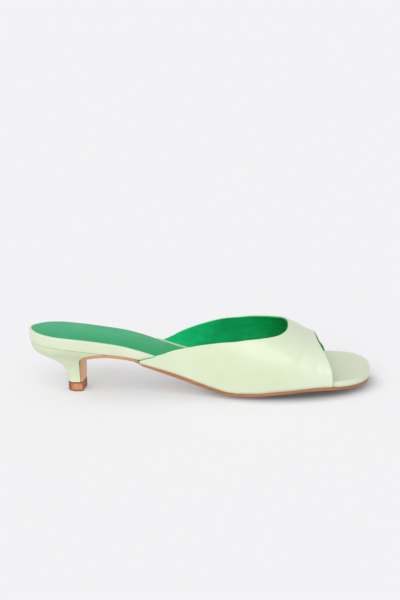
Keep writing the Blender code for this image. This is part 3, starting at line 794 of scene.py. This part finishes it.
def tip_rubber(name, light, dark):
    """Moulded polyurethane heel tip: brown, darker along its lower and upper edges and towards its back, with
    painted shade over its front face."""
    made, tree, shader = new_material(name, Coat_Weight=0.04, Coat_Roughness=0.3, Specular_IOR_Level=0.25)
    here = add(tree, "TexCoord", "Object")
    x = add(tree, "SeparateXYZ", "X", {"Vector": here})
    z = add(tree, "SeparateXYZ", "Z", {"Vector": here})

    # Darker along the lower and upper edges and towards the back; the ramp over the front face is painted
    # shade.
    breast = HEEL_BACK + BREAST
    dark_edges_and_painted_shade = (
        {"Value": z, "From Min": 0.0004, "From Max": 0.0016, "To Min": 1.0, "To Max": 0.0},
        {"Value": z, "From Min": LIFT_HEIGHT - 0.0013, "From Max": LIFT_HEIGHT - 0.0002},
        {"Value": x, "From Min": breast - 0.0002, "From Max": breast + WAIST_SOLE},
        {
            "Value": x,
            "From Min": HEEL_BACK + BREAST * 0.76,
            "From Max": HEEL_BACK + BREAST * 0.85,
            "To Min": 0.9,
            "To Max": 0.0,
        },
    )
    light_and_dark_marks = [add(tree, "MapRange", "Result", marked) for marked in dark_edges_and_painted_shade]
    most = light_and_dark_marks[0]
    for dark_place in light_and_dark_marks[1:]:
        most = add(tree, "Math", "Value", {0: most, 1: dark_place}, operation="MAXIMUM")
    ragged = add(tree, "TexNoise", "Fac", {"Vector": here, "Scale": 0.5 / 0.0008, "Detail": 3.0})
    mottle = {"Value": ragged, "From Min": 0.3, "From Max": 0.7, "To Max": 0.4}
    mottled = add(tree, "MapRange", "Result", mottle)
    shade = add(tree, "Mix", 2, {0: mottled, 6: linear(light), 7: linear(dark)}, data_type="RGBA")
    darkening = add(tree, "MapRange", "Result", {"Value": most, "To Max": 0.85})
    marked = add(tree, "Mix", 2, {0: darkening, 6: shade, 7: linear(dark)}, data_type="RGBA")
    tree.links.new(marked, shader.inputs["Base Color"])

    satin = {"Value": ragged, "From Min": 0.3, "From Max": 0.7, "To Min": 0.4, "To Max": 0.5}
    tree.links.new(add(tree, "MapRange", "Result", satin), shader.inputs["Roughness"])
    rough = add(tree, "Bump", "Normal", {"Height": ragged, "Distance": 0.00006, "Strength": 0.25})
    tree.links.new(rough, shader.inputs["Normal"])
    return made


def waxed_thread(name, colour, dark):
    """Waxed polyester thread with its two plies wound round each other."""
    made, tree, shader = new_material(name, Roughness=0.45)
    here = add(tree, "TexCoord", "Object")
    plies = add(tree, "TexNoise", "Fac", {"Vector": here, "Scale": 0.5 / 0.0003, "Detail": 3.0})
    wound = add(tree, "Mix", 2, {0: plies, 6: linear(colour), 7: linear(dark)}, data_type="RGBA")
    tree.links.new(wound, shader.inputs["Base Color"])
    twisted = add(tree, "Bump", "Normal", {"Height": plies, "Distance": 0.00004, "Strength": 0.5})
    tree.links.new(twisted, shader.inputs["Normal"])
    return made


# Painted reflection: the vamp is paler and whiter towards the toe.
toe_painted_reflection = ("X", place(0.74), place(0.84), "#d6e0c6")
# Painted shade: the heel cover is darker near its top, where its bulge faces the lamp.
seat_painted_shade = ("Z", 0.024, 0.032, "#c9d6b4")
vamp_calf = glazed_calf("pale green glazed calf", "#d4dfc1", "#cfdaba", toe_painted_reflection)
wrap_calf = glazed_calf("pale green glazed calf, footbed wrap", "#d6dec4", "#d0d8bd")
cover_calf = glazed_calf("pale green glazed calf, heel cover", "#dee9ca", "#d7e2c1", seat_painted_shade)
# The wing lining darkens from its wings to its throat: painted shade.
wing_greens = ("#08cc82", "#00a65e")
throat_greens_painted_shade = ("#00b060", "#008840")
goat = lining_goat("green goat lining", wing_greens, throat_greens_painted_shade, (0.50, 0.72), 0.7)
# Painted sheen: the sock is paler and greyer at the seat than at the ball, and #58b384 greys its inner side.
seat_greens_painted_sheen = ("#20ae72", "#1ea268")
ball_greens = ("#08a762", "#089a56")
sock_goat = lining_goat("green goat sock", seat_greens_painted_sheen, ball_greens, (0.10, 0.45), 0.35, "#58b384")
bend = sole_bend("oak-tanned sole leather", "#e6c59d", "#d0a67b")
inked = stained_edge("inked sole edge", "#b5744a", "#995e39", "#cb9064")
rubber = tip_rubber("brown polyurethane tip", "#da966c", "#7c3c16")
thread = waxed_thread("pale green waxed thread", "#dde8c6", "#c3d0a8")


def paint(piece, *materials):
    piece.data.materials.clear()
    for made in materials:
        piece.data.materials.append(made)


def topline_lines():
    """Lines of the upper from the crown to the end of the margin, as (rear x, turn)."""
    lines = []
    for k, (here, there) in enumerate(zip(TOPLINE, TOPLINE[1:])):
        before = TOPLINE[k - 1] if k else (TOPLINE[1][0], -TOPLINE[1][1])
        after = TOPLINE[min(k + 2, len(TOPLINE) - 1)]
        for step in range(TOPLINE_STEPS):
            t = step / TOPLINE_STEPS
            weights = (
                (-t + 2 * t**2 - t**3) / 2,
                (2 - 5 * t**2 + 3 * t**3) / 2,
                (t + 4 * t**2 - 3 * t**3) / 2,
                (t**3 - t**2) / 2,
            )
            ways = [sum(w * row[i] for w, row in zip(weights, (before, here, there, after))) for i in (0, 1)]
            lines.append((place(ways[0]), ways[1]))
    rear = place(TOPLINE[-1][0])
    tip = place(WING_TIP)
    lines.append((rear, 1.0))
    lines += [(rear + (tip - rear) * k / WING_STEPS, 1 + k / WING_STEPS) for k in range(1, WING_STEPS + 1)]
    lines += [(tip, 2 + k / FEATHER_STEPS) for k in range(1, FEATHER_STEPS + 1)]
    return lines + [(tip, 3 + k / MARGIN_STEPS) for k in range(1, MARGIN_STEPS + 1)]


OUTER_LIFT = curve(WING_LIFT, 1)
INNER_LIFT = curve(WING_LIFT, 2)


def wing_edge(side, rear, turn):
    """The rear end of one line of the upper on this side, as (x, turn)."""
    if side > 0:
        rear += INNER_WING * ease((turn - WING_FADE) / (1 - WING_FADE))
    lift = INNER_LIFT(turn) if side > 0 else OUTER_LIFT(turn)
    return rear, turn - lift


def crease(way, turn):
    """Depth of the creases at this share of the length and this signed turn."""
    depth = 0.0
    for start_turn, start_way, end_turn, end_way, width, deep in CREASES:
        t = (turn - start_turn) / (end_turn - start_turn)
        if 0 < t < 1:
            off = (way - start_way - (end_way - start_way) * t) / width
            depth += deep * math.exp(-off * off) * math.sin(math.pi * t)
    return depth


def upper_rows(behind=0.0):
    """The upper's outer face as rows of points from the topline to the toe opening, and the creases in them.
    Behind the wings the rows start this much farther back."""
    start, full, less, gone = LINING_TURNS
    lines = topline_lines()
    around = [(-1, line) for line in reversed(lines)] + [(1, line) for line in lines[1:]]
    rows = []
    dents = []
    for side, (rear, turn) in around:
        rear, turn = wing_edge(side, rear, turn)
        rear -= behind * ease((turn - start) / (full - start)) * ease((gone - turn) / (gone - less))
        run = (place(OPENING_AT(side * turn)) - rear) / STRAND_STEPS
        places = [rear + run * k for k in range(STRAND_STEPS + 1)]
        rows.append([upper_point(x, side, turn) for x in places])
        dents.append([crease(share(x), side * turn) for x in places])
    return rows, dents


def shell(name, rows, dents, inwards, thickness):
    """A wall of leather inside the upper's outer face, creased, with rounded edges."""
    piece = sheet(name, rows, dents)
    edit(piece, (bpy.ops.mesh.normals_make_consistent, {"inside": False}))
    crown = max(piece.data.polygons, key=lambda face: face.center.z)
    if crown.normal.z < 0:
        edit(piece, (bpy.ops.mesh.flip_normals, {}))
    if inwards:
        edit(piece, (bpy.ops.transform.shrink_fatten, {"value": -inwards}))
    apply(piece, "SOLIDIFY", thickness=thickness, offset=-1.0, use_even_offset=True, use_rim=True)
    rounding = min(RIM_ROUND, thickness * ROUND_SHARE)
    apply(piece, "BEVEL", width=rounding, segments=3, limit_method="ANGLE", angle_limit=1.0)
    smooth(piece)
    return piece


def layered(name, places, layers_on):
    """A closed piece on the footbed's outline. layers_on gives the layers of a side from the bottom up, each
    as (inset, height from x and the inset)."""
    sections = []
    for x in places:
        halves = []
        for side in (-1, 1):
            half = []
            for inset, height in layers_on(side):
                px, py = plan(x, side, inset)
                half.append((px, py, height(px, inset)))
            halves.append(half)
        sections.append(section(*halves))
    return closed(name, sections)


def bead(x, side):
    """How far the wrap's edge stands up round the sock on this side."""
    raised = RIM_BEAD - thinned(x)
    if side > 0:
        start, full = BEAD_BACK
        raised *= 1 - ease(share(x) / BEAD_GONE)
        raised += INNER_BEAD * ease((share(x) - start) / (full - start))
    return raised * (1 - ease((share(x) - RIM_FADE) / (SOCK_FRONT - RIM_FADE)))


def thinned(x):
    """How much lower the rim and the sock are towards the heel."""
    return HEEL_THIN * (1 - ease(share(x) / THIN_END))


def tilt(piece):
    """Raises the inner edge of the footbed's top at the waist, and lowers the outer one."""
    start, full = TILT_RUN
    for vertex in piece.data.vertices:
        x, y, z = vertex.co
        side = 1 if y > 0 else -1
        across = min(1.0, abs(y) / max(abs(edge(x, side)), TILT_LEAST))
        up = min(1.0, max(0.0, (z - seat(x)) / board(x)))
        vertex.co.z += TILT * ease((share(x) - start) / (full - start)) * side * across * up


def make_footbed():
    """The padded board in its leather wrap, with a softly rounded side and top edge."""

    def under(lift):
        def height(x, inset):
            lowered = 1.0 if x > place(OPENING_FOOT) else ease((inset - MARGIN) / MARGIN_ROOM)
            return seat(x) + rim(x, inset) - margin_step(x) * lowered + lift

        return height

    def flank(way, side):
        def height(x, inset):
            low = under(BOARD_ROUND / 2)(x, inset)
            return low + (footbed_top(x, inset) + bead(x, side) - BOARD_ROUND - low) * way

        return height

    def top(drop, side):
        return lambda x, inset: footbed_top(x, inset) + bead(x, side) - drop

    def wrap(side):
        bottom = (RIM_REACH, MARGIN + MARGIN_ROOM + GAP, MARGIN, MARGIN / 2, BOARD_ROUND / 2)
        layers = [(inset, under(0.0)) for inset in bottom]
        layers.append((BOARD_ROUND / 6, under(BOARD_ROUND / 6)))
        for row in range(SIDE_ROWS + 1):
            way = row / SIDE_ROWS
            swell = SIDE_SWELL * (1 - math.sin(math.pi * way))
            layers.append((BOARD_ROUND * swell, flank(way, side)))
        layers += [(inset, top(drop, side)) for inset, drop in round_edge(BOARD_ROUND)[1:]]
        layers += [(SOCK_INSET - SNUG, top(0.0, side)), (SOCK_INSET, footbed_top)]
        return layers + [(RIM_REACH * k / TOP_ROWS, footbed_top) for k in range(1, TOP_ROWS + 1)]

    piece = layered("footbed_wrap", stations(HEEL_BACK, TOE_TIP), wrap)
    tilt(piece)
    paint(piece, wrap_calf)
    smooth(piece)
    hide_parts("footbed")
    return piece


def make_sock():
    """The sock lining with a turned edge."""

    def lying(height):
        return lambda x, inset: footbed_top(x, inset) + GAP / 3 + height * (1 - thinned(x) / SOCK)

    layers = [(RIM_REACH * k / TOP_ROWS, lying(0.0)) for k in range(TOP_ROWS, 0, -1)]
    layers.append((SOCK_INSET, lying(0.0)))
    thick = SOCK + GAP * 2 / 3
    layers += [(SOCK_INSET + inset, lying(thick - drop)) for inset, drop in round_edge(SOCK * SOCK_TURN)]
    layers += [(RIM_REACH * k / TOP_ROWS, lying(thick)) for k in range(2, TOP_ROWS + 1)]
    piece = layered("sock_lining", stations(HEEL_BACK, place(SOCK_FRONT)), lambda side: layers)
    tilt(piece)
    paint(piece, sock_goat)
    smooth(piece)
    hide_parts("sock")
    return piece


def make_outsole():
    """The sole leather from the toe to the foot of the breast, its edge inked and its face left natural."""
    edge_steps = round_edge(SOLE_ROUND)
    flap = breast_stations([k / FLAP_STEPS for k in range(FLAP_STEPS + 1)])
    shares = [(RIM_REACH, 1.0, 0.0), (RIM_REACH * 0.6, 1.0, 0.0), (RIM_REACH * 0.25, 1.0, 0.0)]
    shares += [(inset, 1.0, drop) for inset, drop in reversed(edge_steps)]
    shares += [(0.0, 0.5, 0.0), (0.0, 0.0, 0.0), (EDGE_REACH / 2, 0.0, 0.0), (EDGE_REACH, 0.0, 0.0)]
    shares += [(RIM_REACH * 0.5, 0.0, 0.0), (RIM_REACH, 0.0, 0.0)]
    sections = []
    for way, x, z, nx, nz in flap:
        halves = []
        for side in (-1, 1):
            half = []
            reach = abs(full_width(x, side)) * HEEL_WIDTH_AT(way) - HEEL_INSET / 2
            for inset, depth_share, lift in shares:
                y = side * max(reach - inset, reach * (1 - FLAP_TAPER * inset / RIM_REACH))
                depth = (WAIST_SOLE + FLAP_MORE * ease(way / FLAP_RUN)) * depth_share - lift
                half.append((x + breast_shear(way, y) + nx * depth, y, z + nz * depth))
            halves.append(half)
        sections.append(section(*halves))
    for x in stations(flap[-1][1], TOE_TIP)[1:]:
        halves = []
        for side in (-1, 1):
            half = []
            for inset, depth_share, lift in shares:
                inside = inset + sole_edge(x) * (1 - inset / RIM_REACH)
                px, py = plan(x, side, inside)
                top = seat(px) + rim(px, inside) - GAP - margin_step(px)
                tight = (WALL + GAP + LEAN_ROOM) * ease((x - place(WING_TIP)) / TIGHT_STEP + 1)
                filled = margin_step(px) - tight + SNUG if depth_share == 0.0 else 0.0
                if WING_TIP < share(x) < OPENING_FOOT:
                    filled += (EDGE_LIFT - SNUG) * (1 - ease(inset / EDGE_REACH)) * (1 - depth_share)
                thick = sole_leather(px) + WAIST_MORE * ease((FULL_SOLE - share(px)) / WAIST_RUN)
                long_step = ease((x - place(WING_TIP)) / LONG_STEP + STEP_AHEAD)
                thick += (WALL + GAP + LEAN_ROOM) * long_step - margin_step(px)
                half.append((px, py, top + filled - thick * depth_share + lift))
            halves.append(half)
        sections.append(section(*halves))
    piece = closed("sole", sections)
    paint(piece, bend, inked)
    for face in piece.data.polygons:
        round_toe = face.center.x > TOE_TIP - TOE_ROUND and abs(face.normal.z) < EDGE_UPRIGHT
        if face.normal.y**2 > EDGE_TURNED or round_toe:
            face.material_index = 1
    smooth(piece)
    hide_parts("outsole")
    return piece


def heel_rows():
    """The heel's table with smooth rows between its rows."""
    last = len(HEEL) - 1
    numbered = [(k, *row) for k, row in enumerate(HEEL)]
    columns = [curve(numbered, column) for column in (1, 2, 3, 4)]
    return [[at(k / HEEL_STEPS) for at in columns] for k in range(last * HEEL_STEPS + 1)]


def ring_section(ring):
    """A ring of the heel as a closed section, from its back round the far side and the breast, and back."""
    near = [pair[0] for pair in ring]
    far = [pair[1] for pair in ring]
    return far[1:] + between(far[-1], near[-1], ACROSS_STEPS) + near[:0:-1] + [near[0]]


def make_heel():
    """The heel in its leather cover."""
    rows = heel_rows()
    lip = lip_way()
    lines = breast_stations([row[3] * lip for row in rows])
    seat_back = seat(HEEL_BACK) - GAP
    foot = LIFT_HEIGHT + GAP
    sections = []
    for (rise, back, width, _), (way, fx, fz, nx, nz) in zip(rows, lines):
        rear_x = HEEL_BACK + HEEL_INSET + (BREAST - HEEL_INSET) * (1 - back)
        rear_z = foot + (seat_back - foot) * rise
        round_share = HEEL_ROUND_SEAT + (HEEL_ROUND_STEM - HEEL_ROUND_SEAT) * (1 - width)
        ring = heel_ring(rear_x, rear_z, fx - nx * GAP, fz - nz * GAP, width, round_share, way)
        sections.append(ring_section(ring))
    for inset, drop in round_edge(COVER_ROUND):
        top = []
        for px, py, _ in sections[len(rows) - 1]:
            away = math.hypot(px - HEEL_BACK - BREAST, py)
            draw = 1 - inset / max(away, COVER_ROUND)
            height = seat(px) - GAP + SNUG - drop
            top.append((HEEL_BACK + BREAST + (px - HEEL_BACK - BREAST) * draw, py * draw, height))
        sections.append(top)
    piece = closed("heel_cover", sections)
    paint(piece, cover_calf)
    smooth(piece)
    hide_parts("heel")
    return piece


def make_tip():
    """The heel tip, with its edges rubbed round."""
    width = HEEL[0][2]
    rear_x = HEEL_BACK + HEEL_INSET + (BREAST - HEEL_INSET) * (1 - HEEL[0][1]) - LIFT_SPREAD
    front_x = HEEL_BACK + BREAST + WAIST_SOLE
    wide = width * (1 + 2 * LIFT_SPREAD / (SEAT_WIDTH * width))
    sections = []
    for z in (0.0, LIFT_HEIGHT):
        sections.append(ring_section(heel_ring(rear_x, z, front_x, z, wide, LIFT_ROUND, 0.0)))
    piece = closed("heel_tip", sections)
    apply(piece, "BEVEL", width=TIP_ROUND, segments=3, limit_method="ANGLE", angle_limit=1.0)
    paint(piece, rubber)
    smooth(piece)
    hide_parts("top_lift")
    return piece


def make_upper():
    """The vamp and its wings in two layers, the outer leather and the lining."""
    outer = shell("upper_leather", *upper_rows(), 0.0, LEATHER)
    paint(outer, vamp_calf)
    inner = shell("upper_lining", *upper_rows(LINING_SHOWS), LEATHER, LINING)
    paint(inner, goat)
    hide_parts("upper")
    return outer, inner


def make_stitches(outer):
    """One row of lockstitches along the topline, each thread flattened and sunk a little into the leather."""
    tree = BVHTree.FromObject(outer, bpy.context.evaluated_depsgraph_get())
    lines = [line for line in topline_lines() if line[1] <= 1.0]
    near = [(-1, *wing_edge(-1, *line)) for line in reversed(lines)]
    both = near + [(1, *wing_edge(1, *line)) for line in lines[1:]]
    path = [Vector(upper_point(rear, side, turn)) for side, rear, turn in both]
    ahead = [Vector(upper_point(rear + STITCH_EDGE, side, turn)) for side, rear, turn in both]
    inset = []
    for k, point in enumerate(path):
        run = (path[min(k + 1, len(path) - 1)] - path[max(k - 1, 0)]).normalized()
        away = ahead[k] - point
        away = (away - run * away.dot(run)).normalized()
        spot, normal, _, _ = tree.find_nearest(point + away * STITCH_EDGE)
        inset.append((spot, normal))
    rings = []
    for turn in [math.pi * k / THREAD_RINGS for k in range(THREAD_RINGS + 1)]:
        ways = [2 * math.pi * k / THREAD_SIDES for k in range(THREAD_SIDES)]
        reach = math.sin(turn) / 2
        rings.append([(reach * math.cos(way), reach * math.sin(way), math.cos(turn) / 2) for way in ways])
    model = closed("stitch", rings)
    model.data.transform(Matrix.Diagonal((THREAD, THREAD * THREAD_FLAT, STITCH_LENGTH, 1.0)))
    row = bmesh.new()
    travelled = 0.0
    due = STITCH_PITCH
    for (a, normal), (b, _) in zip(inset, inset[1:]):
        length = (b - a).length
        while due <= travelled + length:
            spot = a.lerp(b, (due - travelled) / length)
            run = (b - a).normalized()
            side = normal.cross(run).normalized()
            lift = run.cross(side).normalized()
            turned = Matrix((side, lift, run)).transposed().to_4x4()
            stitch = model.data.copy()
            stitch.transform(Matrix.Translation(spot + normal * THREAD * THREAD_LIFT) @ turned)
            row.from_mesh(stitch)
            bpy.data.meshes.remove(stitch)
            due += STITCH_PITCH
        travelled += length
    bpy.data.objects.remove(model)
    stitches = bpy.data.meshes.new("topline_stitches")
    row.to_mesh(stitches)
    row.free()
    piece = bpy.data.objects.new("topline_stitches", stitches)
    bpy.context.scene.collection.objects.link(piece)
    paint(piece, thread)
    smooth(piece, 60)
    return piece


# The photo's view
VIEW_SWING = math.radians(3.0)  # the camera stands this far towards the toe
VIEW_RISE = math.radians(15.311)  # and looks down by this much
VIEW_ROLL = math.radians(-2.488)
VIEW_TARGET = (0.001962, 0.0, 0.06301)
VIEW_DISTANCE = 1.1
VIEW_LENS = 93.617

# Patches painted into the floor under the shoe: a painted contact shadow and a painted cool tint in the shade
# under the arch. Each is middle, half length and half width, share of these where the patch starts to fade
# and where it is gone
PAINTED_CONTACT_SHADOW = ((0.0640, -0.0049), (0.054, 0.035), 0.70, 1.30)
CONTACT_LIGHT = 0.33  # light that is left in the middle of the contact
ARCH_SHADOW_TINT = ((-0.02025, -0.0072), (0.075, 0.036), 0.40, 1.20)

# Light
ROOM_LIGHT = 0.72
LAMP_LIGHT = 1.5
LAMP_SPREAD = math.radians(60.0)  # a wide lamp, so that its shadows are soft
LAMP_WAY = (0.25, 1.1, -0.9)  # the way its light goes


def set_camera():
    """The photo's view: 15 degrees above the floor, a little towards the toe, slightly rolled."""
    level = math.cos(VIEW_RISE)
    forward = Vector((-math.sin(VIEW_SWING) * level, math.cos(VIEW_SWING) * level, -math.sin(VIEW_RISE)))
    flat = Vector((math.cos(VIEW_SWING), math.sin(VIEW_SWING), 0.0))
    square = flat.cross(forward)
    right = math.cos(VIEW_ROLL) * flat + math.sin(VIEW_ROLL) * square
    up = -math.sin(VIEW_ROLL) * flat + math.cos(VIEW_ROLL) * square
    camera = bpy.data.objects.new("camera", bpy.data.cameras.new("camera"))
    bpy.context.scene.collection.objects.link(camera)
    camera.data.lens = VIEW_LENS
    camera.data.sensor_width = 36.0
    camera.data.clip_end = 100.0
    turned = Matrix((right, up, -forward)).transposed().to_4x4()
    camera.matrix_world = Matrix.Translation(Vector(VIEW_TARGET) - VIEW_DISTANCE * forward) @ turned
    bpy.context.scene.camera = camera


def floor_patch(tree, here, patch, lowest):
    """A soft ellipse on the floor, lowest in its middle and 1 outside it."""
    middle, half, near, gone = patch
    shift = (-middle[0] / half[0], -middle[1] / half[1], 0.0)
    size = {"Vector": here, "Location": shift, "Scale": (1 / half[0], 1 / half[1], 0.0)}
    spread = add(tree, "Mapping", "Vector", size)
    away = add(tree, "VectorMath", "Value", {0: spread}, operation="LENGTH")
    fading = {"Value": away, "From Min": near, "From Max": gone, "To Min": lowest, "To Max": 1.0}
    return add(tree, "MapRange", "Result", fading, interpolation_type="SMOOTHSTEP")


def set_floor():
    """A pale matt floor with painted light: a contact shadow under the forefoot, a cool tint under the arch,
    a glow.
    """
    deselect()
    bpy.ops.mesh.primitive_plane_add(size=40.0, location=(0.0, 0.0, -0.0001))
    floor = bpy.context.active_object
    floor.name = "floor"
    made, tree, shader = new_material("pale studio floor", Roughness=0.9, Specular_IOR_Level=0.0)
    here = add(tree, "TexCoord", "Object")
    # Painted contact shadow under the forefoot, and a painted cool tint in the shade under the arch.
    lit = floor_patch(tree, here, PAINTED_CONTACT_SHADOW, CONTACT_LIGHT)
    arch_tint = floor_patch(tree, here, ARCH_SHADOW_TINT, 0.0)
    black = linear("#000000")
    pale = add(tree, "Mix", 2, {0: arch_tint, 6: linear("#d0d2d3"), 7: linear("#dbd5d2")}, data_type="RGBA")
    colour = add(tree, "Mix", 2, {0: lit, 6: black, 7: pale}, data_type="RGBA")
    tree.links.new(colour, shader.inputs["Base Color"])
    # Painted light: the floor glows, which lightens and cools its shadows, less so in the painted contact
    # shadow.
    painted_glow = add(tree, "Mix", 2, {0: lit, 6: black, 7: linear("#74808a")}, data_type="RGBA")
    tree.links.new(painted_glow, shader.inputs["Emission Color"])
    shader.inputs["Emission Strength"].default_value = 1.0
    paint(floor, made)


def set_light():
    """Plain studio light: a white room and one wide soft lamp from the front left."""
    world = bpy.data.worlds.new("white room")
    bpy.context.scene.world = world
    world.use_nodes = True
    world.node_tree.nodes["Background"].inputs["Color"].default_value = (1.0, 1.0, 1.0, 1.0)
    world.node_tree.nodes["Background"].inputs["Strength"].default_value = ROOM_LIGHT
    lamp = bpy.data.lights.new("soft lamp", "SUN")
    lamp.energy = LAMP_LIGHT
    lamp.angle = LAMP_SPREAD
    lit = bpy.data.objects.new("soft lamp", lamp)
    bpy.context.scene.collection.objects.link(lit)
    lit.rotation_euler = Vector(LAMP_WAY).to_track_quat("-Z", "Y").to_euler()
    bpy.context.scene.view_settings.view_transform = "Standard"


set_camera()
set_floor()
set_light()
pieces = [make_footbed(), make_sock(), make_outsole(), make_heel(), make_tip()]
leather_upper, lining_upper = make_upper()
pieces += [leather_upper, lining_upper, make_stitches(leather_upper)]
for piece in pieces:
    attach(piece, "root")
